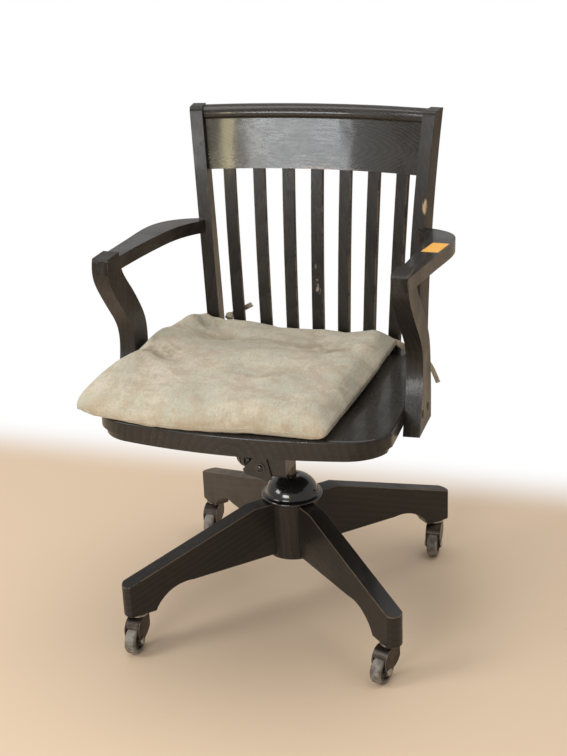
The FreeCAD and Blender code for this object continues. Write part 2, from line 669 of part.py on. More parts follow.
def crest_rail():
    """Curved board with a thicker rolled band along its top edge."""
    radius = (CREST_HALF ** 2 + CREST_BOW ** 2) / (2 * CREST_BOW)
    y0 = crest_y(0, CREST_BOTTOM_Z)
    band_z = CREST_TOP_Z - CREST_BAND_H

    def at(depth, z):
        return V(0, y0 + CREST_LEAN * (z - CREST_BOTTOM_Z) + depth, z)

    out = -CREST_BAND_OUT
    edges = [
        line(at(0, CREST_BOTTOM_Z), at(0, band_z - 5)),
        arc(at(0, band_z - 5), at(out * 0.35, band_z - 1.5), at(out, band_z)),
        arc(at(out, band_z), at(out - 1.5, band_z + CREST_BAND_H * 0.45), at(out + 5, CREST_TOP_Z - 2)),
        arc(at(out + 5, CREST_TOP_Z - 2), at(CREST_T * 0.4, CREST_TOP_Z), at(CREST_T, CREST_TOP_Z - 5)),
        line(at(CREST_T, CREST_TOP_Z - 5), at(CREST_T, CREST_BOTTOM_Z)),
        line(at(CREST_T, CREST_BOTTOM_Z), at(0, CREST_BOTTOM_Z)),
    ]
    face = Part.Face(Part.Wire(edges))
    centre = V(0, y0 - radius, 0)
    half_angle = math.degrees(math.asin((CREST_HALF + POST_W * 0.7) / radius))
    face.rotate(centre, Z_AXIS, -half_angle)
    return face.revolve(centre, Z_AXIS, 2 * half_angle)


def back_slat(k):
    """One slat: flat strip, fanned out and curved back towards the crest."""
    n = k - (SLAT_COUNT - 1) / 2
    seat_y = SLAT_SEAT_Y + SLAT_SEAT_BOW * (1 - (n / 3.0) ** 2)
    seat_z = seat_level(seat_y) - SLAT_TENON
    top_z = CREST_BOTTOM_Z + SLAT_TENON
    top_x = n * SLAT_PITCH_TOP
    top_y = crest_y(top_x, CREST_BOTTOM_Z) + (CREST_T - SLAT_T) / 2
    turn = math.asin(-top_x / ((CREST_HALF ** 2 + CREST_BOW ** 2) / (2 * CREST_BOW)))
    sections = []
    for t in (0.0, 0.25, 0.5, 0.75, 1.0):
        z = seat_z + t * (top_z - seat_z)
        x = n * (SLAT_PITCH_SEAT + (SLAT_PITCH_TOP - SLAT_PITCH_SEAT) * t)
        y = seat_y + (top_y - seat_y) * (0.3 * t + 0.7 * t * t)
        across = V(math.cos(turn), math.sin(turn), 0) * (SLAT_W / 2)
        deep = V(-math.sin(turn), math.cos(turn), 0) * SLAT_T
        p = V(x, y, z)
        sections.append(polyline([p - across, p + across, p + across + deep, p - across + deep]))
    return Part.makeLoft(sections, True, False)


# Arms
def armrest():
    """Right armrest, made flat and then sloped down to the back."""
    drop = ARM_T
    nose = ARM_NOSE_Y
    out_x = ARM_OUT_X
    in_x = out_x - SUPPORT_W
    outer = [V(out_x, nose + 4, 0), V(out_x + 6.5, -100, 0), V(out_x + 14, 0, 0), V(out_x + 18, 75, 0),
             V(out_x + 4, 134, 0), V(out_x - 36, 168, 0), V(out_x - 52, 172, 0)]
    inner = [V(out_x - 60, 150, 0), V(in_x - 12, 105, 0), V(in_x - 1, 20, 0), V(in_x + 1, -90, 0),
             V(in_x, nose + 4, 0)]
    edges = [
        smooth(outer),
        line(outer[-1], inner[0]),
        smooth(inner),
        arc(inner[-1], V((in_x + out_x) / 2, nose, 0), outer[0]),
    ]
    arm = prism(Part.Wire(edges), V(0, 0, -drop))
    arm.rotate(V(0, -178, 0), X_AXIS, -math.degrees(math.atan(ARM_DROP)))
    arm.translate(V(0, 0, ARM_TOP_Z))
    return arm


def arm_support():
    """Right support: S-curved side view, flared foot beside the seat."""
    x = ARM_OUT_X - SUPPORT_W
    foot = SUPPORT_FOOT_Z
    top = ARM_TOP_Z + 5
    front = [V(x, -186, top), V(x, -188, 646), V(x, -170, 615), V(x, -134, 571), V(x, -107, 531),
             V(x, -105, 491), V(x, -122, 444), V(x, -144, foot)]
    rear = [V(x, -56, foot), V(x, -50, 444), V(x, -48, 491), V(x, -52, 531), V(x, -75, 571),
            V(x, -108, 611), V(x, -135, 644), V(x, -143, top)]
    edges = [smooth(front), line(front[-1], rear[0]), smooth(rear), line(rear[-1], front[0])]
    side = prism(Part.Wire(edges), V(SUPPORT_W, 0, 0))
    side.rotate(V(ARM_OUT_X, 0, ARM_TOP_Z), Y_AXIS, -SUPPORT_LEAN)
    return side


def support_plugs():
    """Bolts through each foot into the seat's edge, under round plugs."""
    bolts = []
    plugs = []
    lean = math.tan(math.radians(SUPPORT_LEAN))
    for y, z in ((-116.0, 427.0), (-76.0, 424.5)):
        face = ARM_OUT_X + lean * (ARM_TOP_Z - z)
        for side in (-1, 1):
            plugs.append(rod(PLUG_R, V(side * (face - 6), y, z), V(side * (face + 0.6), y, z)))
            bolts.append(rod(BOLT_R, V(side * (face - 6 - ARM_BOLT_LEN), y, z), V(side * (face - 6), y, z)))
    return bolts, plugs


def arm_screws():
    """Screws down through the arm into the support, and from inside the post into the arm."""
    screws = []
    for side in (-1, 1):
        x = side * (ARM_OUT_X - SUPPORT_W / 2)
        screws.append(rod(ARM_SCREW_R, V(x, -164, 612), V(x, -164, ARM_TOP_Z - 8)))
        screws.append(rod(ARM_SCREW_R, V(side * 184, 166, 638), V(side * 228, 158, 638)))
    return screws


def blank_label():
    """Plain rectangular sticker on top of the right armrest."""
    x, y = 250.5, 23.0
    length, width = 66.0, 28.0
    label = box(x - width / 2, x + width / 2, y - length / 2, y + length / 2, 0, 0.4)
    label.rotate(V(x, y, 0), Z_AXIS, -5)
    label.rotate(V(0, -178, 0), X_AXIS, -math.degrees(math.atan(ARM_DROP)))
    label.translate(V(0, 0, ARM_TOP_Z))
    return label


# Cushion
def cushion():
    """Thin square cushion set askew: crowned, with drawn-in sides and sewn tufts."""
    corners = [V(-258, -286, 0), V(154, -312, 0), V(148, 168, 0), V(-164, 170, 0), V(-169, 142, 0),
               V(-226, 130, 0), V(-222, -90, 0)]
    lifts = (0.0, 0.0, 6.0, 8.0, 20.0, 26.0, 0.0)
    z0 = SEAT_TOP_Z + CUSHION_BASE_GAP
    centre = V(-42, -75, 0)

    def ring(z, inset, rise):
        scaled = []
        for c, lift in zip(corners, lifts):
            reach = (c - centre).Length
            scaled.append(centre + (c - centre) * (1 - inset / reach) + V(0, 0, rise * lift))
        edges = []
        for i, a in enumerate(scaled):
            b = scaled[(i + 1) % len(scaled)]
            middle = (a + b) * 0.5
            inward = V(centre.x - middle.x, centre.y - middle.y, 0).normalize()
            inward = inward * (1.0 + 0.012 * (a - b).Length)
            edges.append(arc(a, middle + inward, b))
        wire = Part.Wire(edges)
        wire.translate(V(0, 0, z))
        return wire

    levels = ((0.0, 30.0, 0.0), (0.12, 6.0, 0.7), (0.22, 0.0, 1.0), (0.42, 4.0, 0.9), (0.66, 18.0, 0.5),
              (0.86, 45.0, 0.2), (1.0, 105.0, 0.0))
    rings = [ring(z0 + CUSHION_T * part, inset, rise) for part, inset, rise in levels]
    body = Part.makeLoft(rings, True, True)
    for x, y in TUFTS:
        spread = math.hypot(x - centre.x, y - centre.y)
        top = z0 + CUSHION_T - 0.05 * spread
        body = body.cut(Part.makeSphere(TUFT_R, V(x, y, top + TUFT_R - TUFT_DEPTH)))
    return sloped(body)


def cushion_ties():
    """Cloth ties at the two back corners, knotted beside slats."""
    ties = []
    for x, y, z in ((-165.0, 176.7, 457.0), (163.0, 160.0, 437.0)):
        knot = Part.makeSphere(7.0, V(x, y, z))
        tail = rod(2.5, V(x, y, z), V(x, y - 8, z - 14))
        ties.append(knot.fuse(tail))
    return Part.makeCompound(ties)


def build_upper(plate_screw_set):
    arms = {}
    supports = {}
    posts = {}
    for name, side in (("left", -1), ("right", 1)):
        arm = armrest()
        support = arm_support().cut(arm)
        arms[name] = arm if side > 0 else mirrored(arm)
        supports[name] = support if side > 0 else mirrored(support)
        posts[name] = back_post(side)
        arms[name] = arms[name].cut(posts[name])
    bolts, plugs = support_plugs()
    screws = arm_screws()
    for name in ("left", "right"):
        for item in bolts + plugs + screws:
            supports[name] = supports[name].cut(item)
        for item in screws:
            arms[name] = arms[name].cut(item)
            posts[name] = posts[name].cut(item)
    slats = [back_slat(k) for k in range(SLAT_COUNT)]
    board = seat_board()
    under = seat_underlayer()
    crest = crest_rail()
    for post in posts.values():
        crest = crest.cut(post)
        board = board.cut(post)
        under = under.cut(post)
    crest = max(crest.Solids, key=lambda s: s.Volume)
    for support in supports.values():
        board = board.cut(support)
        under = under.cut(support)
    for slat in slats:
        crest = crest.cut(slat)
        board = board.cut(slat)
    for item in bolts:
        board = board.cut(item)
        under = under.cut(item)
    board = board.cut(plate_screw_set)
    under = under.cut(plate_screw_set)
    save("seat_board", max(board.Solids, key=lambda s: s.Volume))
    save("seat_underlayer", max(under.Solids, key=lambda s: s.Volume))
    save("crest_rail", crest)
    for k, slat in enumerate(slats):
        save("slat_%d" % (k + 1), slat)
    for name in ("left", "right"):
        save(name + "_post", posts[name])
        save(name + "_armrest", arms[name])
        save(name + "_support", supports[name])
    save("support_bolts", Part.makeCompound(bolts))
    save("support_plugs", Part.makeCompound(plugs))
    save("arm_screws", Part.makeCompound(screws))
    save("blank_label", blank_label())
    pad = cushion()
    save("seat_cushion", pad)
    save("cushion_ties", cushion_ties().cut(pad))


build_base()
plate_screw_set = build_mechanism()
build_upper(plate_screw_set)
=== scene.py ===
import bpy
import math
import numpy as np
from mathutils import Matrix, Vector, noise


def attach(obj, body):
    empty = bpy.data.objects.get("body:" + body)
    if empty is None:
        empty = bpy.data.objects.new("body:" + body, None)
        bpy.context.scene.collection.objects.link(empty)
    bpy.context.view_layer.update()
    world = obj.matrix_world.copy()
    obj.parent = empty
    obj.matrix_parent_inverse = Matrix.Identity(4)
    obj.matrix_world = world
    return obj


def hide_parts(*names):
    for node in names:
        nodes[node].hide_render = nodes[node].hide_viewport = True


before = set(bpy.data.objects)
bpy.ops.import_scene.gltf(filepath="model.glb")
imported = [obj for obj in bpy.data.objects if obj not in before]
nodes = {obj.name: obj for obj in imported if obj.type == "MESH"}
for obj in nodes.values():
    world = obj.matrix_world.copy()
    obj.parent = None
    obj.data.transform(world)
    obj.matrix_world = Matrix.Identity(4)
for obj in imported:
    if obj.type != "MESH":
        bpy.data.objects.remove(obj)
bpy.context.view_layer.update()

MM = 0.001
LEG_TURNS = (46.5, 137.9, 226.5, 316.5)
SEAT_TOP = 0.449
SEAT_FRONT = -0.304
SEAT_SLOPE = 0.06
WHITE = (1.0, 1.0, 1.0, 1)
AMBIENT_COLOUR, AMBIENT_STRENGTH = (1.0, 0.985, 0.96, 1), 0.44
CAMERA_PLACE = (0.6712, -2.0720, 1.2924)
CAMERA_RIGHT, CAMERA_BACK = (0.955, 0.295, -0.040), (0.289, -0.883, 0.371)
LENS_MM = 65.68
FLOOR_SIZE = 24
FLOOR_COLOUR = (0.74, 0.57, 0.41)
FADE_BEHIND = (0.40, 0.62)
FADE_AROUND = (1.5, 2.7)
MERGE = 0.00002
FLAT_DEGREES = 0.6


def add_to_scene(name, data):
    obj = bpy.data.objects.new(name, data)
    bpy.context.scene.collection.objects.link(obj)
    return obj


# Camera and studio
def place_camera():
    right = Vector(CAMERA_RIGHT).normalized()
    back = Vector(CAMERA_BACK).normalized()
    up = back.cross(right).normalized()
    right = up.cross(back)
    data = bpy.data.cameras.new("camera")
    data.lens = LENS_MM
    data.sensor_width = 36.0
    data.clip_end = 50.0
    camera = add_to_scene("camera", data)
    turn = Matrix((right, up, back)).transposed().to_4x4()
    camera.matrix_world = Matrix.Translation(CAMERA_PLACE) @ turn
    bpy.context.scene.camera = camera


def soft_lamp(name, place, size, power, colour, aim=(0, 0, 0.45)):
    data = bpy.data.lights.new(name, "AREA")
    data.shape = "RECTANGLE"
    data.size, data.size_y = size
    data.energy = power
    data.color = colour
    lamp = add_to_scene(name, data)
    lamp.location = place
    lamp.rotation_euler = (Vector(aim) - Vector(place)).to_track_quat("-Z", "Y").to_euler()


def studio():
    world = bpy.data.worlds.new("studio")
    bpy.context.scene.world = world
    world.use_nodes = True
    tree = world.node_tree
    ground = tree.nodes["Background"]
    ground.inputs["Color"].default_value = AMBIENT_COLOUR
    ground.inputs["Strength"].default_value = AMBIENT_STRENGTH
    white = tree.nodes.new("ShaderNodeBackground")
    white.inputs["Color"].default_value = WHITE
    white.inputs["Strength"].default_value = 1.0
    path = tree.nodes.new("ShaderNodeLightPath")
    mix = tree.nodes.new("ShaderNodeMixShader")
    tree.links.new(path.outputs["Is Camera Ray"], mix.inputs[0])
    tree.links.new(ground.outputs[0], mix.inputs[1])
    tree.links.new(white.outputs[0], mix.inputs[2])
    tree.links.new(mix.outputs[0], tree.nodes["World Output"].inputs["Surface"])
    soft_lamp("window_left", (-2.2, -1.5, 2.1), (1.1, 1.6), 36, (1.0, 0.99, 0.97))
    soft_lamp("window_front", (-0.65, -2.75, 1.2), (1.1, 0.7), 26, (0.94, 0.97, 1.0), (0, 0.2, 0.75))
    soft_lamp("curtain_gap", (0.06, -2.79, 1.16), (0.10, 0.7), 4.6, (1.0, 0.86, 0.50), (0, 0.2, 0.8))
    soft_lamp("ceiling", (0.3, 0.2, 3.0), (2.4, 2.4), 40, (1.0, 0.98, 0.95))
    bpy.ops.mesh.primitive_plane_add(size=FLOOR_SIZE, location=(0, 0, 0))
    floor = bpy.context.object
    floor.name = "floor"
    floor.data.materials.append(floor_paint())


def floor_paint():
    """Plain pale floor that turns into the white background away from the chair."""
    f = Finish("floor_pale", FLOOR_COLOUR, 0.6)
    t = f.tree
    place = t.nodes.new("ShaderNodeSeparateXYZ")
    t.links.new(f.plain, place.inputs[0])
    away = t.nodes.new("ShaderNodeVectorMath")
    away.operation = "LENGTH"
    t.links.new(f.plain, away.inputs[0])
    pale = math_node(t, "MAXIMUM", band(t, place.outputs["Y"], *FADE_BEHIND),
                     band(t, away.outputs["Value"], *FADE_AROUND))
    path = t.nodes.new("ShaderNodeLightPath")
    far = math_node(t, "MULTIPLY", pale, path.outputs["Is Camera Ray"])
    glow = t.nodes.new("ShaderNodeEmission")
    glow.inputs["Color"].default_value = WHITE
    glow.inputs["Strength"].default_value = 1.0
    mix = t.nodes.new("ShaderNodeMixShader")
    t.links.new(far, mix.inputs[0])
    t.links.new(f.shader.outputs[0], mix.inputs[1])
    t.links.new(glow.outputs[0], mix.inputs[2])
    t.links.new(mix.outputs[0], t.nodes["Material Output"].inputs["Surface"])
    return f.material


# Shader building
class Group:
    """A shader node group with named inputs and outputs."""

    def __init__(self, name, inputs, outputs):
        self.tree = bpy.data.node_groups.new(name, "ShaderNodeTree")
        for label, kind, value in inputs:
            socket = self.tree.interface.new_socket(label, in_out="INPUT", socket_type=kind)
            if value is not None:
                socket.default_value = value
        for label, kind in outputs:
            self.tree.interface.new_socket(label, in_out="OUTPUT", socket_type=kind)
        self.source = self.tree.nodes.new("NodeGroupInput")
        self.sink = self.tree.nodes.new("NodeGroupOutput")

    def get(self, label):
        return self.source.outputs[label]

    def put(self, label, socket):
        self.tree.links.new(socket, self.sink.inputs[label])


def wire(tree, value, socket):
    if isinstance(value, bpy.types.NodeSocket):
        tree.links.new(value, socket)
    elif value is not None:
        socket.default_value = value


def math_node(tree, kind, a, b=None, c=None, clamp=False):
    node = tree.nodes.new("ShaderNodeMath")
    node.operation = kind
    node.use_clamp = clamp
    for socket, value in zip(node.inputs, (a, b, c)):
        wire(tree, value, socket)
    return node.outputs[0]


def mapped(tree, vector, scale=(1, 1, 1), rotation=(0, 0, 0), location=(0, 0, 0)):
    node = tree.nodes.new("ShaderNodeMapping")
    node.inputs["Scale"].default_value = scale
    node.inputs["Rotation"].default_value = rotation
    node.inputs["Location"].default_value = location
    tree.links.new(vector, node.inputs["Vector"])
    return node.outputs[0]


def noise_value(tree, vector, scale, detail=3.0, rough=0.55, distortion=0.0):
    node = tree.nodes.new("ShaderNodeTexNoise")
    wire(tree, vector, node.inputs["Vector"])
    wire(tree, scale, node.inputs["Scale"])
    node.inputs["Detail"].default_value = detail
    node.inputs["Roughness"].default_value = rough
    node.inputs["Distortion"].default_value = distortion
    return node.outputs["Fac"]


def band(tree, value, low, high, start=0.0, end=1.0):
    node = tree.nodes.new("ShaderNodeMapRange")
    node.interpolation_type = "SMOOTHSTEP"
    wire(tree, value, node.inputs["Value"])
    for label, number in (("From Min", low), ("From Max", high), ("To Min", start), ("To Max", end)):
        wire(tree, number, node.inputs[label])
    return node.outputs[0]


def mixed(tree, factor, a, b):
    node = tree.nodes.new("ShaderNodeMix")
    node.data_type = "RGBA"
    wire(tree, factor, node.inputs["Factor"])
    for label, value in (("A", a), ("B", b)):
        socket = [s for s in node.inputs if s.name == label and s.type == "RGBA"][0]
        wire(tree, value if isinstance(value, bpy.types.NodeSocket) else tuple(value) + (1,), socket)
    return [s for s in node.outputs if s.type == "RGBA"][0]


def spot_mask(tree, vector, centre, radii, soft=0.5):
    """1 inside an ellipsoid round centre, falling to 0 outside it."""
    shifted = mapped(tree, vector, scale=[1 / r for r in radii],
                     location=[-c / r for c, r in zip(centre, radii)])
    length = tree.nodes.new("ShaderNodeVectorMath")
    length.operation = "LENGTH"
    tree.links.new(shifted, length.inputs[0])
    return band(tree, length.outputs["Value"], 1.0, soft)


def make_grain_group():
    """Oak with the grain along Z: growth rings cut into arches, long fibres and open pores."""
    g = Group("oak_grain", (("Vector", "NodeSocketVector", None), ("Rings", "NodeSocketFloat", 110.0),
                            ("Arch", "NodeSocketFloat", 0.05)),
              (("Figure", "NodeSocketFloat"), ("Pores", "NodeSocketFloat"), ("Tone", "NodeSocketFloat")))
    t = g.tree
    sway = noise_value(t, mapped(t, g.get("Vector"), scale=(1, 1, 0.16)), 9.0, 2.0)
    parts = t.nodes.new("ShaderNodeSeparateXYZ")
    t.links.new(g.get("Vector"), parts.inputs[0])
    across = math_node(t, "ADD", math_node(t, "POWER", parts.outputs["X"], 2.0),
                       math_node(t, "POWER", parts.outputs["Y"], 2.0))
    radius = math_node(t, "SQRT", math_node(t, "ADD", across, 0.00005))
    reach = math_node(t, "MULTIPLY_ADD", parts.outputs["Z"], g.get("Arch"), radius)
    jitter = noise_value(t, mapped(t, g.get("Vector"), scale=(1, 1, 0.45)), 95.0, 3.0, 0.6)
    bent = math_node(t, "MULTIPLY_ADD", sway, 0.030, math_node(t, "MULTIPLY_ADD", jitter, 0.006, reach))
    figure = math_node(t, "FRACT", math_node(t, "MULTIPLY", bent, g.get("Rings")))
    g.put("Figure", figure)
    fibre = noise_value(t, mapped(t, g.get("Vector"), scale=(1, 1, 0.035)), 620.0, 2.0, 0.6)
    g.put("Pores", math_node(t, "MULTIPLY", band(t, fibre, 0.52, 0.66), band(t, figure, 0.35, 0.8, 0.45, 1.0)))
    g.put("Tone", sway)
    return g.tree


def make_wear_group():
    """Wear along the edges marked in the mesh, broken up by noise."""
    g = Group("edge_wear", (("Vector", "NodeSocketVector", None), ("Amount", "NodeSocketFloat", 0.5)),
              (("Mask", "NodeSocketFloat"),))
    t = g.tree
    edge = t.nodes.new("ShaderNodeAttribute")
    edge.attribute_name = "edge"
    patches = noise_value(t, g.get("Vector"), 28.0, 4.0, 0.65)
    fine = noise_value(t, g.get("Vector"), 300.0, 2.0, 0.5)
    rough = math_node(t, "MULTIPLY_ADD", fine, 0.35, patches)
    limit = math_node(t, "SUBTRACT", 1.02, math_node(t, "MULTIPLY", g.get("Amount"), 0.62))
    worn = band(t, rough, limit, math_node(t, "ADD", limit, 0.16))
    g.put("Mask", math_node(t, "MULTIPLY", worn, edge.outputs["Fac"], clamp=True))
    return g.tree


def make_dust_group():
    """Cloudy dust and handling marks: a slow value and small specks."""
    g = Group("dust", (("Vector", "NodeSocketVector", None), ("Scale", "NodeSocketFloat", 1.0)),
              (("Clouds", "NodeSocketFloat"), ("Specks", "NodeSocketFloat")))
    t = g.tree
    clouds = noise_value(t, g.get("Vector"), math_node(t, "MULTIPLY", g.get("Scale"), 14.0), 5.0, 0.6)
    g.put("Clouds", clouds)
    specks = noise_value(t, g.get("Vector"), math_node(t, "MULTIPLY", g.get("Scale"), 520.0), 1.0, 0.5)
    g.put("Specks", band(t, specks, 0.70, 0.78))
    return g.tree


def make_weave_group():
    """Plain linen weave with slubs: height, and a tone that varies from thread to thread."""
    g = Group("linen_weave", (("Vector", "NodeSocketVector", None), ("Threads", "NodeSocketFloat", 1400.0)),
              (("Height", "NodeSocketFloat"), ("Tone", "NodeSocketFloat")))
    t = g.tree
    sets = []
    for axis, stretch in (("X", (1, 0.03, 0.03)), ("Y", (0.03, 1, 0.03))):
        wave = t.nodes.new("ShaderNodeTexWave")
        wave.wave_type = "BANDS"
        wave.bands_direction = axis
        wave.inputs["Distortion"].default_value = 0.8
        wave.inputs["Detail"].default_value = 1.0
        t.links.new(g.get("Vector"), wave.inputs["Vector"])
        t.links.new(g.get("Threads"), wave.inputs["Scale"])
        slub = noise_value(t, mapped(t, g.get("Vector"), scale=stretch), 900.0, 2.0, 0.7)
        sets.append((wave.outputs["Fac"], slub))
    threads = math_node(t, "MAXIMUM", sets[0][0], sets[1][0])
    slubs = math_node(t, "ADD", sets[0][1], sets[1][1])
    g.put("Height", math_node(t, "MULTIPLY_ADD", slubs, 0.7, threads))
    g.put("Tone", math_node(t, "MULTIPLY", slubs, 0.5))
    return g.tree


class Finish:
    """A material with its Principled shader, and its object coordinates turned to the grain."""

    def __init__(self, name, colour, roughness, turn=(0, 0, 0), metallic=0.0, coat=0.0, coat_rough=0.1,
                 specular=0.5, sheen=0.0, shift=(0, 0, 0)):
        self.material = bpy.data.materials.new(name)
        self.material.use_nodes = True
        self.tree = self.material.node_tree
        self.shader = self.tree.nodes["Principled BSDF"]
        values = {"Base Color": tuple(colour) + (1,), "Roughness": roughness, "Metallic": metallic,
                  "Coat Weight": coat, "Coat Roughness": coat_rough, "Specular IOR Level": specular,
                  "Sheen Weight": sheen, "Sheen Roughness": 0.5}
        for label, value in values.items():
            self.shader.inputs[label].default_value = value
        coords = self.tree.nodes.new("ShaderNodeTexCoord")
        self.plain = coords.outputs["Object"]
        self.vector = mapped(self.tree, self.plain, rotation=turn, location=shift)

    def group(self, tree, **values):
        node = self.tree.nodes.new("ShaderNodeGroup")
        node.node_tree = tree
        for label, value in values.items():
            wire(self.tree, value, node.inputs[label.replace("_", " ")])
        return node

    def paint(self, label, socket):
        self.tree.links.new(socket, self.shader.inputs[label])

    def bump(self, height, distance, strength=1.0):
        node = self.tree.nodes.new("ShaderNodeBump")
        node.inputs["Distance"].default_value = distance
        node.inputs["Strength"].default_value = strength
        self.tree.links.new(height, node.inputs["Height"])
        previous = self.shader.inputs["Normal"]
        if previous.is_linked:
            self.tree.links.new(previous.links[0].from_socket, node.inputs["Normal"])
        self.tree.links.new(node.outputs[0], previous)


grain_group = make_grain_group()
wear_group = make_wear_group()
dust_group = make_dust_group()
weave_group = make_weave_group()

STAIN_BLACK = (0.0085, 0.0068, 0.0058)
STAIN_LIGHT = (0.032, 0.026, 0.021)
RUBBED = (0.185, 0.125, 0.080)
BARE_WOOD = (0.50, 0.34, 0.20)


def black_oak(name, turn=(0, 0, 0), wear=0.5, rings=110.0, arch=0.05, contrast=0.5, roughness=0.34, marks=(),
              shift=(0.03, 0.02, 0), coat=0.10):
    """Black-stained oak under worn satin lacquer. marks are rubbed places: centre, radii, colour, threshold."""
    f = Finish(name, STAIN_BLACK, roughness, turn=turn, coat=coat, coat_rough=0.10, shift=shift, specular=0.34)
    t = f.tree
    grain = f.group(grain_group, Vector=f.vector, Rings=rings, Arch=arch)
    worn = f.group(wear_group, Vector=f.plain, Amount=wear)
    dust = f.group(dust_group, Vector=f.plain)
    figured = math_node(t, "MULTIPLY", grain.outputs["Figure"], contrast)
    toned = math_node(t, "MULTIPLY_ADD", band(t, grain.outputs["Tone"], 0.35, 0.7), 0.35, figured, clamp=True)
    colour = mixed(t, toned, STAIN_BLACK, STAIN_LIGHT)
    colour = mixed(t, math_node(t, "MULTIPLY", grain.outputs["Pores"], 0.7), colour, (0.006, 0.005, 0.0045))
    colour = mixed(t, math_node(t, "MULTIPLY", worn.outputs["Mask"], 0.9), colour, RUBBED)
    for centre, radii, tint, limit, stretch in marks:
        place = spot_mask(t, f.plain, centre, radii)
        flakes = noise_value(t, mapped(t, f.plain, scale=stretch), 90.0, 5.0, 0.7)
        mask = math_node(t, "MULTIPLY", place, band(t, flakes, limit, limit + 0.06))
        colour = mixed(t, mask, colour, tint)
    f.paint("Base Color", colour)
    gloss = math_node(t, "MULTIPLY_ADD", band(t, dust.outputs["Clouds"], 0.3, 0.7), 0.16, roughness - 0.06)
    gloss = math_node(t, "MULTIPLY_ADD", worn.outputs["Mask"], 0.25, gloss)
    f.paint("Roughness", gloss)
    f.bump(math_node(t, "SUBTRACT", math_node(t, "MULTIPLY", grain.outputs["Figure"], 0.5), grain.outputs["Pores"]),
           0.00022, 0.6)
    return f.material


def enamel(name, colour, roughness, coat, specks):
    """Painted metal: glossy, with faint specks of dust and cloudy handling marks."""
    f = Finish(name, colour, roughness, coat=coat, coat_rough=0.06)
    t = f.tree
    dust = f.group(dust_group, Vector=f.plain)
    worn = f.group(wear_group, Vector=f.plain, Amount=0.4)
    tint = mixed(t, math_node(t, "MULTIPLY", dust.outputs["Specks"], specks), colour, (0.30, 0.27, 0.23))
    tint = mixed(t, math_node(t, "MULTIPLY", worn.outputs["Mask"], 0.5), tint, (0.16, 0.14, 0.12))
    f.paint("Base Color", tint)
    f.paint("Roughness", math_node(t, "MULTIPLY_ADD", dust.outputs["Clouds"], 0.3, roughness - 0.12))
    f.bump(dust.outputs["Specks"], 0.0001, 0.3)
    return f.material


def steel(name, colour, roughness, rust=0.3):
    f = Finish(name, colour, roughness, metallic=1.0)
    t = f.tree
    dust = f.group(dust_group, Vector=f.plain, Scale=2.0)
    stain = band(t, dust.outputs["Clouds"], 0.50, 0.72, 0.0, rust)
    f.paint("Base Color", mixed(t, stain, colour, (0.10, 0.065, 0.04)))
    f.paint("Roughness", math_node(t, "MULTIPLY_ADD", dust.outputs["Clouds"], 0.35, roughness - 0.15))
    f.paint("Metallic", math_node(t, "SUBTRACT", 1.0, stain))
    return f.material


def bronze():
    """Dark bronze paint rubbed to bright metal along the edges."""
    f = Finish("caster_bronze", (0.05, 0.037, 0.028), 0.34, metallic=0.6)
    t = f.tree
    dust = f.group(dust_group, Vector=f.plain, Scale=3.0)
    worn = f.group(wear_group, Vector=f.plain, Amount=0.85)
    colour = mixed(t, band(t, dust.outputs["Clouds"], 0.4, 0.7), (0.030, 0.022, 0.017), (0.085, 0.060, 0.042))
    f.paint("Base Color", mixed(t, worn.outputs["Mask"], colour, (0.52, 0.45, 0.37)))
    f.paint("Roughness", math_node(t, "MULTIPLY_ADD", dust.outputs["Clouds"], 0.35, 0.18))
    f.bump(dust.outputs["Clouds"], 0.0003, 0.4)
    return f.material


def rubber(name, colour, dirt, roughness=0.6):
    f = Finish(name, colour, roughness)
    t = f.tree
    dust = f.group(dust_group, Vector=f.plain, Scale=3.5)
    stain = band(t, dust.outputs["Clouds"], 0.42, 0.66)
    f.paint("Base Color", mixed(t, stain, colour, dirt))
    f.paint("Roughness", math_node(t, "MULTIPLY_ADD", dust.outputs["Clouds"], 0.3, roughness - 0.15))
    f.bump(dust.outputs["Clouds"], 0.0002, 0.5)
    return f.material


CUSHION_STAINS = (
    ((-0.205, -0.130, 0.49), (0.034, 0.026, 0.10), 0.85),
    ((-0.180, -0.115, 0.49), (0.080, 0.050, 0.10), 0.55),
    ((-0.130, 0.045, 0.48), (0.090, 0.050, 0.10), 0.60),
    ((0.060, 0.045, 0.48), (0.085, 0.050, 0.10), 0.60),
    ((-0.020, 0.020, 0.48), (0.120, 0.060, 0.10), 0.45),
    ((-0.180, 0.105, 0.49), (0.055, 0.045, 0.10), 0.50),
    ((0.020, -0.140, 0.49), (0.090, 0.055, 0.10), 0.35),
)


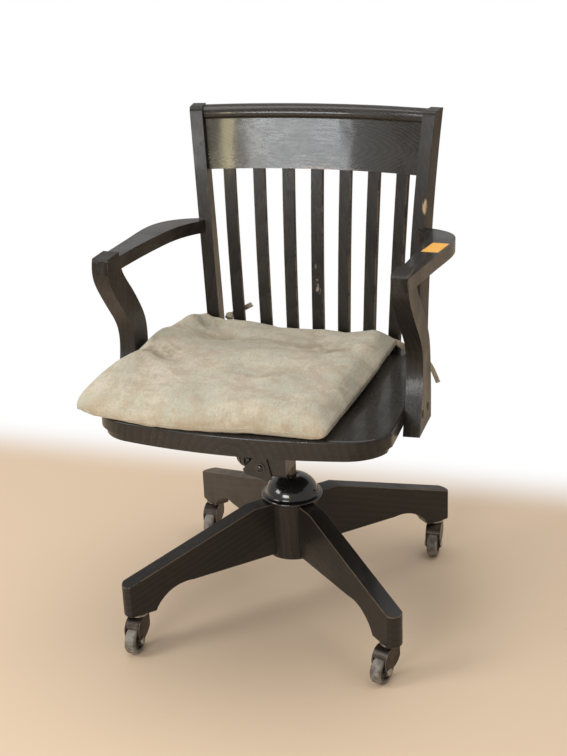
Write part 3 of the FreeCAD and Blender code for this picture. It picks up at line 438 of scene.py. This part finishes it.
def linen():
    """Grey-green linen with tea-coloured stains and slubby threads."""
    pale, warm, green = (0.66, 0.585, 0.455), (0.53, 0.44, 0.32), (0.53, 0.51, 0.40)
    f = Finish("linen", pale, 0.92, specular=0.2, sheen=0.2)
    t = f.tree
    weave = f.group(weave_group, Vector=f.vector)
    clouds = noise_value(t, f.plain, 13.0, 6.0, 0.66)
    blots = noise_value(t, f.plain, 34.0, 5.0, 0.66)
    slubs = noise_value(t, mapped(t, f.plain, rotation=(0, 0, 0.2), scale=(1, 0.18, 1)), 420.0, 3.0, 0.7)
    colour = mixed(t, band(t, clouds, 0.40, 0.62), pale, green)
    colour = mixed(t, band(t, blots, 0.44, 0.62, 0.0, 0.95), colour, warm)
    for centre, radii, depth in CUSHION_STAINS:
        place = spot_mask(t, f.plain, centre, radii, 0.1)
        mottled = math_node(t, "MULTIPLY", place, band(t, blots, 0.36, 0.60))
        colour = mixed(t, math_node(t, "MULTIPLY", mottled, depth), colour, (0.30, 0.22, 0.125))
    tone = math_node(t, "ADD", band(t, weave.outputs["Tone"], 0.40, 0.62, 0.0, 0.22),
                     band(t, slubs, 0.46, 0.66, 0.0, 0.35))
    f.paint("Base Color", mixed(t, tone, colour, (0.34, 0.30, 0.23)))
    f.bump(weave.outputs["Height"], 0.0003, 0.6)
    f.bump(slubs, 0.0008, 0.5)
    f.bump(blots, 0.005, 0.7)
    return f.material


def paper():
    f = Finish("label_orange", (0.86, 0.42, 0.075), 0.5)
    dust = f.group(dust_group, Vector=f.plain, Scale=2.0)
    f.paint("Base Color", mixed(f.tree, band(f.tree, dust.outputs["Clouds"], 0.4, 0.7, 0, 0.5),
                                (0.88, 0.44, 0.08), (0.80, 0.52, 0.20)))
    return f.material


# Modelling helpers
def only(obj):
    if bpy.context.object and bpy.context.object.mode != "OBJECT":
        bpy.ops.object.mode_set(mode="OBJECT")
    bpy.ops.object.select_all(action="DESELECT")
    obj.select_set(True)
    bpy.context.view_layer.objects.active = obj


def apply_all(obj):
    only(obj)
    for modifier in list(obj.modifiers):
        bpy.ops.object.modifier_apply(modifier=modifier.name)


def smooth_by_angle(obj, degrees=35):
    only(obj)
    bpy.ops.object.shade_smooth_by_angle(angle=math.radians(degrees))


def settle(obj, body, slot, *replaced):
    """Put a finished piece's place in its mesh, hang it on its body's empty and hide the CAD nodes it replaces."""
    only(obj)
    bpy.ops.object.transform_apply(location=True, rotation=True, scale=True)
    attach(obj, body)
    if replaced:
        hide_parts(*replaced)


def mark_edges(obj):
    """Turn the faces that the bevel made into an 'edge' attribute, 1 along the middle of the bevel."""
    mesh = obj.data
    bevel_face = np.array([p.material_index == 1 for p in mesh.polygons])
    inside = np.ones(len(mesh.vertices), bool)
    for polygon, is_bevel in zip(mesh.polygons, bevel_face):
        if not is_bevel:
            inside[list(polygon.vertices)] = False
    values = np.zeros(len(mesh.loops), np.float32)
    for polygon, is_bevel in zip(mesh.polygons, bevel_face):
        if is_bevel:
            for loop in polygon.loop_indices:
                values[loop] = 1.0 if inside[mesh.loops[loop].vertex_index] else 0.25
    attribute = mesh.attributes.new("edge", "FLOAT", "CORNER")
    attribute.data.foreach_set("value", values)
    mesh.polygons.foreach_set("material_index", np.zeros(len(mesh.polygons), np.int32))


def softened_edges(obj, width, segments=3, angle=32, material=None, clamp=True):
    """Round a piece's hard edges and note where they are, for wear."""
    obj.data.materials.clear()
    obj.data.materials.append(material)
    obj.data.materials.append(material)
    bevel = obj.modifiers.new("bevel", "BEVEL")
    bevel.width = width
    bevel.segments = segments
    bevel.limit_method = "ANGLE"
    bevel.angle_limit = math.radians(angle)
    bevel.use_clamp_overlap = clamp
    bevel.material = 1
    apply_all(obj)
    mark_edges(obj)
    obj.data.materials.pop(index=1)
    smooth_by_angle(obj, 40)
    weighted = obj.modifiers.new("weighted", "WEIGHTED_NORMAL")
    weighted.keep_sharp = True
    weighted.weight = 80
    apply_all(obj)


def edit_all(obj):
    """Open a mesh for editing with everything in it selected."""
    only(obj)
    bpy.ops.object.mode_set(mode="EDIT")
    bpy.ops.mesh.select_all(action="SELECT")


def join(pieces):
    """Join the pieces into the first one."""
    only(pieces[0])
    for other in pieces[1:]:
        other.select_set(True)
    bpy.ops.object.join()
    return bpy.context.object


def cleaned_copy(node):
    """A copy of a CAD node with its triangles merged into whole faces."""
    obj = add_to_scene(node + "_finished", nodes[node].data.copy())
    edit_all(obj)
    bpy.ops.mesh.remove_doubles(threshold=MERGE)
    bpy.ops.mesh.dissolve_limited(angle_limit=math.radians(FLAT_DEGREES))
    bpy.ops.object.mode_set(mode="OBJECT")
    return obj


def finished_node(node, body, slot, material, width, segments=3, angle=32, clamp=True):
    """The CAD node with rounded, worn edges, in its final material."""
    obj = cleaned_copy(node)
    softened_edges(obj, width, segments, angle, material, clamp)
    settle(obj, body, slot, node)


def lathe(name, profile, steps):
    """Turn a profile of (radius, height) points round the vertical axis with the spin tool."""
    mesh = bpy.data.meshes.new(name)
    mesh.from_pydata([(r, 0, z) for r, z in profile], [(i, i + 1) for i in range(len(profile) - 1)], [])
    obj = add_to_scene(name, mesh)
    edit_all(obj)
    bpy.ops.mesh.spin(steps=steps, angle=2 * math.pi, center=(0, 0, 0), axis=(0, 0, 1))
    bpy.ops.mesh.select_all(action="SELECT")
    bpy.ops.mesh.remove_doubles(threshold=MERGE)
    bpy.ops.mesh.normals_make_consistent(inside=False)
    bpy.ops.object.mode_set(mode="OBJECT")
    return obj


def seat_level(y):
    return SEAT_TOP - SEAT_SLOPE * (y - SEAT_FRONT)


# Finishes
def z_to(direction):
    """Rotation for a Mapping node that turns a direction onto Z."""
    return Vector(direction).normalized().rotation_difference(Vector((0, 0, 1))).to_euler()


oak_up = black_oak("black_oak_upright", wear=0.72, rings=120.0)
oak_across = black_oak("black_oak_across", turn=z_to((1, 0, 0)), wear=0.5, rings=170.0, arch=0.42,
                       contrast=0.9, shift=(0.772, -0.205, -0.02), coat=0.5, roughness=0.27,
                       marks=(((0.004, 0.205, 0.750), (0.055, 0.05, 0.015), RUBBED, 0.57, (0.6, 1, 4.0)),
                              ((0.0, 0.205, 0.734), (0.110, 0.05, 0.005), RUBBED, 0.50, (0.5, 1, 1.5))))
oak_arm = black_oak("black_oak_arm", turn=z_to((0, 1, -0.07)), wear=0.82, rings=90.0,
                    roughness=0.30, shift=(0.0, 0.6, 0.0), coat=0.25)
oak_seat = black_oak("black_oak_seat", turn=z_to((0, 1, 0)), wear=0.5, rings=80.0,
                     roughness=0.28, shift=(0.0, 0.40, 0.0), coat=0.3)
enamel_black = enamel("collar_black", (0.008, 0.008, 0.008), 0.16, coat=0.8, specks=0.12)
iron_black = enamel("black_iron", (0.020, 0.018, 0.016), 0.38, coat=0.25, specks=0.5)
knob_black = enamel("knob_black", (0.012, 0.011, 0.010), 0.26, coat=0.5, specks=0.3)
plain_steel = steel("bright_steel", (0.46, 0.44, 0.41), 0.34)
spring_steel = steel("spring_steel", (0.12, 0.11, 0.10), 0.42, rust=0.5)
oiled_steel = steel("oiled_steel", (0.13, 0.105, 0.085), 0.36, rust=0.6)
bronze_paint = bronze()
tread_rubber = rubber("tread_grey", (0.235, 0.215, 0.19), (0.085, 0.07, 0.058))
wheel_plastic = rubber("wheel_dark", (0.028, 0.023, 0.020), (0.07, 0.055, 0.045), 0.45)
linen_cloth = linen()
label_paper = paper()
plug_black = enamel("plug_black", (0.012, 0.011, 0.010), 0.5, coat=0.0, specks=0.2)


# Base
def swivel_base():
    finished_node("hub_column", "base", "black_wood", oak_up, 0.0015, angle=50)
    for k, turn in enumerate(LEG_TURNS, 1):
        a = math.radians(turn)
        along = black_oak("black_oak_leg_%d" % k, turn=z_to((math.cos(a), math.sin(a), -0.3)), wear=0.9,
                          rings=90.0, contrast=0.45, roughness=0.38)
        finished_node("leg_%d" % k, "base", "black_wood", along, 0.0012, 2, 40, clamp=False)


def casters():
    for k in range(1, 5):
        body = "caster_%d" % k
        finished_node("caster_horn_%d" % k, body, "caster_bronze", bronze_paint, 0.0009, 2)
        finished_node("caster_axle_%d" % k, body, "bright_steel", plain_steel, 0.0006, 2)
        finished_node("wheel_tread_%d" % k, "wheel_%d" % k, "tread_grey", tread_rubber, 0.0008, 2)
        finished_node("wheel_core_%d" % k, "wheel_%d" % k, "wheel_dark", wheel_plastic, 0.0006, 2)


# Height collar and tilt control
COLLAR_PROFILE = ((8.8, 203.5), (40, 203.5), (40, 203.0), (52.6, 203.0), (53.7, 203.9), (54.0, 205.2),
                  (53.6, 206.9), (52.2, 208.2), (50.0, 208.7), (48.4, 209.1), (47.2, 210.3), (46.4, 211.8),
                  (46.0, 213.5), (44.9, 216.9), (43.5, 220.3), (41.8, 223.4), (39.8, 226.4), (37.5, 229.2),
                  (34.9, 231.7), (32.1, 234.0), (29.1, 236.0), (25.9, 237.6), (22.6, 239.0), (19.1, 240.0),
                  (15.6, 240.7), (12.4, 240.9), (11.4, 240.4), (10.9, 239.5), (8.8, 239.5), (8.8, 203.5))


def collar():
    piece = lathe("height_collar_finished", [(r * MM, z * MM) for r, z in COLLAR_PROFILE], 96)
    piece.data.materials.append(enamel_black)
    smooth_by_angle(piece, 50)
    settle(piece, "collar", "collar_black", "height_collar")


def mechanism():
    finished_node("control_housing", "control", "black_iron", iron_black, 0.0012, 3)
    finished_node("tension_knob", "knob", "knob_black", knob_black, 0.0007, 2)
    finished_node("seat_plate", "seat", "black_iron", iron_black, 0.0008, 2)
    finished_node("stop_bolt", "control", "bright_steel", enamel_black, 0.0004, 2)
    finished_node("collar_set_screw", "collar", "bright_steel", knob_black, 0.0005, 2)


# Seat
def seat():
    finished_node("seat_board", "seat", "black_wood", oak_seat, 0.002, 4, 40)
    finished_node("seat_underlayer", "seat", "underside_wood", oak_seat, 0.004, 4, 40)


# Back
def back():
    finished_node("left_post", "seat", "black_wood", oak_up, 0.003, 4)
    chip = (((0.2055, 0.160, 0.687), (0.007, 0.010, 0.016), BARE_WOOD, 0.40, (1, 1, 0.4)),)
    post_oak = black_oak("black_oak_chipped", wear=0.72, rings=120.0, marks=chip)
    finished_node("right_post", "seat", "black_wood", post_oak, 0.003, 4)
    finished_node("crest_rail", "seat", "black_wood", oak_across, 0.0016, 3, 40)
    flaked = (((0.0, 0.2, 0.532), (0.010, 0.05, 0.040), (0.30, 0.24, 0.19), 0.56, (1, 1, 0.35)),)
    flaked_oak = black_oak("black_oak_flaked", wear=0.6, rings=120.0, marks=flaked)
    for k in range(1, 8):
        finished_node("slat_%d" % k, "seat", "black_wood", flaked_oak if k == 4 else oak_up, 0.0016, 3)


# Arms
def arms():
    for side in ("left", "right"):
        finished_node(side + "_armrest", "seat", "black_wood", oak_arm, 0.004, 4)
        finished_node(side + "_support", "seat", "black_wood", oak_up, 0.003, 4)
    finished_node("support_plugs", "seat", "plug_black", plug_black, 0.0006, 2)
    finished_node("blank_label", "seat", "label_orange", label_paper, 0.0001, 1)


# Cushion
def spline_points(points, count):
    """Evenly spread points on a smooth curve through the given ones."""
    pts = np.array(points, float)
    extended = np.vstack([2 * pts[0] - pts[1], pts, 2 * pts[-1] - pts[-2]])
    dense = []
    for i in range(1, len(extended) - 2):
        p0, p1, p2, p3 = extended[i - 1:i + 3]
        for s in np.linspace(0, 1, 60, endpoint=False):
            dense.append(0.5 * (2 * p1 + (p2 - p0) * s + (2 * p0 - 5 * p1 + 4 * p2 - p3) * s * s
                                + (3 * p1 - p0 - 3 * p2 + p3) * s ** 3))
    dense.append(pts[-1])
    dense = np.array(dense)
    reach = np.concatenate([[0], np.cumsum(np.linalg.norm(np.diff(dense, axis=0), axis=1))])
    wanted = np.linspace(0, reach[-1], count)
    return np.stack([np.interp(wanted, reach, dense[:, k]) for k in range(3)], 1)


# Seam points of the cushion: x, y and the height over the seat's top plane, in millimetres
SEAM_FRONT = ((-260, -286, 10), (-195, -301, 8), (-120, -311, 7), (-40, -314, 9), (50, -307, 11), (154, -304, 9))
SEAM_RIGHT = ((154, -304, 9), (155, -200, 6), (156, -60, 6), (154, 70, 8), (155, 166, 18))
SEAM_BACK = ((-221, 141, 46), (-190, 139, 38), (-150, 166, 22), (-60, 180, 14), (60, 180, 14), (155, 166, 18))
SEAM_LEFT = ((-260, -286, 10), (-254, -225, 26), (-240, -168, 38), (-230, -110, 46), (-230, -45, 48),
             (-240, 20, 38), (-233, 90, 38), (-221, 141, 46))
CROWN = 30.0
BLUNT_WIDTH = 46.0
SEAM_BULGE = 9.0
TUFTS = ((-0.178, -0.120, 10.0, 0.045), (-0.020, -0.124, 6.0, 0.055), (-0.135, 0.045, 11.0, 0.045),
         (0.068, 0.042, 9.0, 0.055), (-0.172, 0.112, 8.0, 0.026))
CUSHION_GRID = 88
EDGE_CROWDING = 0.65
SPLINE_STEPS = 600
SEAM_MERGE = 0.0002
CORD_RADIUS = 0.0011
VOXEL = 0.005
CLOTH_FRAMES = 20
CLOTH_REACH = 0.006


def coons(front, back_edge, left, right, u, v, s, t):
    """Surface that spans four edge curves, at grid place u, v."""
    n = len(front) - 1
    return ((1 - t) * front[u] + t * back_edge[u] + (1 - s) * left[v] + s * right[v]
            - (1 - s) * (1 - t) * front[0] - s * (1 - t) * front[n]
            - (1 - s) * t * back_edge[0] - s * t * back_edge[n])


def blunt(distance):
    """Rise of a stuffed edge, 0 at the seam and 1 past its rounded shoulder."""
    inward = max(0.0, 1.0 - distance / BLUNT_WIDTH)
    return (1.0 - inward ** 2.3) ** (1 / 2.3)


def top_height(px, py, swell):
    """Height of the top panel over its seam, in millimetres: crown, folds and sewn dimples."""
    rise = CROWN * swell
    rise += (noise.noise(Vector((px * 8, py * 8, 1.7))) * 4.0 + noise.noise(Vector((px * 22, py * 17, 5.1))) * 2.6
             + noise.noise(Vector((px * 60, py * 30, 2.4))) * 1.1) * swell
    rise += 3.0 * swell * math.exp(-((px + 0.225) / 0.05) ** 2 - ((py + 0.05) / 0.13) ** 2)
    for tx, ty, depth, radius in TUFTS:
        away = math.hypot(px - tx, py - ty)
        spokes = 0.8 + 0.2 * math.cos(5 * math.atan2(py - ty, px - tx) + 20 * tx)
        rise -= 1.25 * depth * math.exp(-(away / (radius * spokes)) ** 1.5)
    rise -= 12.0 * swell * math.exp(-((py - 0.175) / 0.06) ** 2 - (px / 0.12) ** 4)
    fold = (px + 0.185) * 0.8 + (py - 0.098) * 0.6
    along = (px + 0.185) * 0.6 - (py - 0.098) * 0.8
    rise -= 6.0 * math.exp(-(fold / 0.008) ** 2 - (along / 0.035) ** 2)
    return rise


def keep_clear(co):
    """Keep a cushion point off the seat, the left support, the left post and the slats."""
    co.y = min(co.y, 0.1725 + 0.016 * max(0.0, 1 - (co.x / 0.143) ** 2) if co.x > -0.160 else 0.146)
    if -0.160 < co.y < -0.040:
        co.x = max(co.x, -0.2295)
    if co.y > SEAT_FRONT + 0.012 and abs(co.x) < 0.225:
        co.z = max(co.z, seat_level(co.y) + 0.0006)
    return co


def grid_place(k):
    """Place from 0 to 1 of grid line k, crowded towards both ends."""
    even = k / CUSHION_GRID
    return (1 - EDGE_CROWDING) * even + EDGE_CROWDING * (0.5 - 0.5 * math.cos(math.pi * even))


def cushion_side(top, edges):
    """One panel of the cushion: a grid shaped to the seam, finer towards it."""
    n = CUSHION_GRID
    bpy.ops.mesh.primitive_grid_add(x_subdivisions=n, y_subdivisions=n, size=1)
    obj = bpy.context.object
    for vertex in obj.data.vertices:
        u = int(round((vertex.co.x + 0.5) * n))
        v = int(round((vertex.co.y + 0.5) * n))
        s, t = grid_place(u), grid_place(v)
        x, y, h = coons(*edges, u, v, s, t)
        swell = blunt(min(s, 1 - s) * 400) * blunt(min(t, 1 - t) * 460)
        bulge = SEAM_BULGE * math.sin(math.pi * min(swell, 1.0)) if top else 0.0
        push = Vector(((s - 0.5) ** 5 * 32, (t - 0.5) ** 5 * 32, 0))
        x, y = x + push.x * bulge, y + push.y * bulge * 0.6
        px, py = x * MM, y * MM
        if top:
            h += top_height(px, py, swell)
        else:
            h -= 11.0 * swell + max(0.0, h - 10.0) * min(1.0, swell * 1.6)
        vertex.co = keep_clear(Vector((px, py, seat_level(py) + h * MM)))
    return obj


def seam_parameter(points):
    """Edge curve sampled to match the grid's finer spacing near its ends."""
    dense = spline_points(points, SPLINE_STEPS + 1)
    return np.array([dense[int(round(SPLINE_STEPS * grid_place(k)))] for k in range(CUSHION_GRID + 1)])


def inflate(piece):
    """Swell the cushion's cloth under pressure, then hold each point near its modelled place."""
    only(piece)
    remesh = piece.modifiers.new("remesh", "REMESH")
    remesh.mode = "VOXEL"
    remesh.voxel_size = VOXEL
    apply_all(piece)
    start = [v.co.copy() for v in piece.data.vertices]
    cloth = piece.modifiers.new("cloth", "CLOTH")
    cloth.settings.quality = 5
    cloth.settings.use_pressure = True
    cloth.settings.uniform_pressure_force = 4.0
    cloth.settings.effector_weights.gravity = 0.0
    cloth.settings.tension_stiffness = 25.0
    cloth.settings.bending_stiffness = 0.6
    cloth.point_cache.frame_start = 1
    cloth.point_cache.frame_end = CLOTH_FRAMES
    scene = bpy.context.scene
    for step in range(1, CLOTH_FRAMES + 1):
        scene.frame_set(step)
    apply_all(piece)
    for vertex, place in zip(piece.data.vertices, start):
        moved = vertex.co - place
        if moved.length > CLOTH_REACH:
            vertex.co = place + moved.normalized() * CLOTH_REACH
        vertex.co = keep_clear(vertex.co)
    scene.frame_set(1)


def seam_cord(edges, piece):
    """Narrow sewn welt along the seam, laid on the finished cloth."""
    front, back_edge, left, right = edges
    loop = [tuple(p) for p in front[:-1]] + [tuple(p) for p in right[:-1]]
    loop += [tuple(p) for p in back_edge[::-1][:-1]] + [tuple(p) for p in left[::-1][:-1]]
    curve = bpy.data.curves.new("seam", "CURVE")
    curve.dimensions = "3D"
    curve.bevel_depth = CORD_RADIUS
    curve.bevel_resolution = 2
    line = curve.splines.new("POLY")
    line.points.add(len(loop) - 1)
    for point, (x, y, h) in zip(line.points, loop):
        near = piece.closest_point_on_mesh(Vector((x * MM, y * MM, seat_level(y * MM) + h * MM)))[1]
        point.co = (*keep_clear(near), 1)
    line.use_cyclic_u = True
    only(add_to_scene("seam", curve))
    bpy.ops.object.convert(target="MESH")
    return bpy.context.object


def cushion():
    edges = [seam_parameter(e) for e in (SEAM_FRONT, SEAM_BACK, SEAM_LEFT, SEAM_RIGHT)]
    upper = cushion_side(True, edges)
    lower = cushion_side(False, edges)
    edit_all(lower)
    bpy.ops.mesh.flip_normals()
    bpy.ops.object.mode_set(mode="OBJECT")
    piece = join([upper, lower])
    piece.name = "seat_cushion_linen"
    edit_all(piece)
    bpy.ops.mesh.remove_doubles(threshold=SEAM_MERGE)
    bpy.ops.object.mode_set(mode="OBJECT")
    inflate(piece)
    smoother = piece.modifiers.new("subdivision", "SUBSURF")
    smoother.levels = smoother.render_levels = 1
    apply_all(piece)
    join([piece, seam_cord(edges, piece)])
    piece.data.materials.clear()
    piece.data.materials.append(linen_cloth)
    only(piece)
    bpy.ops.object.shade_smooth()
    settle(piece, "seat", "linen", "seat_cushion")


def cloth_tape(name, points, width, normal=(0, -1, 0), twist=0.0):
    """A flat cotton tape along a smooth line."""
    line = spline_points([[c * 1000 for c in p] for p in points], 40) * MM
    mesh_points, faces = [], []
    for i, p in enumerate(line):
        ahead = line[min(i + 1, len(line) - 1)] - line[max(i - 1, 0)]
        ahead = Vector(ahead).normalized()
        across = ahead.cross(Vector(normal)).normalized()
        across = Matrix.Rotation(twist * i / len(line), 3, ahead) @ across
        for side in (-0.5, -0.17, 0.17, 0.5):
            mesh_points.append(Vector(p) + across * width * side)
    for i in range(len(line) - 1):
        for j in range(3):
            a = i * 4 + j
            faces.append((a, a + 1, a + 5, a + 4))
    mesh = bpy.data.meshes.new(name)
    mesh.from_pydata(mesh_points, [], faces)
    obj = add_to_scene(name, mesh)
    obj.data.materials.append(linen_cloth)
    thick = obj.modifiers.new("thick", "SOLIDIFY")
    thick.thickness = 0.0012
    thick.offset = 0
    apply_all(obj)
    bpy.ops.object.shade_smooth()
    return obj


def tie_knot(name, centre, radius):
    """A small knot: a lump of cloth with wrapped folds."""
    bpy.ops.mesh.primitive_uv_sphere_add(segments=32, ring_count=20, radius=radius, location=centre)
    obj = bpy.context.object
    obj.name = name
    for vertex in obj.data.vertices:
        away = vertex.co.normalized()
        wrap = math.sin(away.x * 5 + away.z * 7) * 0.10 + noise.noise(away * 2.3) * 0.3
        vertex.co = vertex.co * (1 + wrap)
        vertex.co.z *= 0.85
    obj.data.materials.append(linen_cloth)
    bpy.ops.object.shade_smooth()
    return obj


def ties():
    pieces = [
        tie_knot("left_tie_knot", (-0.163, 0.178, 0.462), 0.0085),
        cloth_tape("left_tie_tail", ((-0.160, 0.184, 0.464), (-0.150, 0.194, 0.468), (-0.138, 0.198, 0.474),
                                     (-0.126, 0.197, 0.481)), 0.009),
        cloth_tape("right_tie", ((0.146, 0.162, 0.440), (0.156, 0.160, 0.438), (0.166, 0.162, 0.431),
                                 (0.172, 0.170, 0.424)), 0.011, (0, -0.7, 0.7)),
        cloth_tape("right_tie_tail", ((0.199, 0.170, 0.415), (0.208, 0.168, 0.404), (0.217, 0.165, 0.391),
                                      (0.227, 0.165, 0.367)), 0.008, (0, -1, 0.2)),
    ]
    first = join(pieces)
    first.name = "cushion_ties_cloth"
    settle(first, "seat", "linen", "cushion_ties")


def finish_cad_nodes():
    """Materials for the small metal pieces whose CAD shape is kept."""
    kept = {"bearing_tube": plain_steel, "lower_washer": plain_steel, "upper_washer": plain_steel,
            "leg_bolts": plain_steel, "caster_sockets": plain_steel, "spindle": oiled_steel,
            "pivot_shaft": plain_steel, "pivot_nuts": plain_steel, "plate_screws": plain_steel,
            "tension_bolt": plain_steel, "tilt_spring": spring_steel, "support_bolts": plain_steel,
            "arm_screws": plug_black}
    for name, material in kept.items():
        mesh = nodes[name].data
        mesh.materials.clear()
        mesh.materials.append(material)


place_camera()
studio()
swivel_base()
casters()
collar()
mechanism()
seat()
back()
arms()
cushion()
ties()
finish_cad_nodes()

bpy.context.scene.view_settings.view_transform = "Standard"
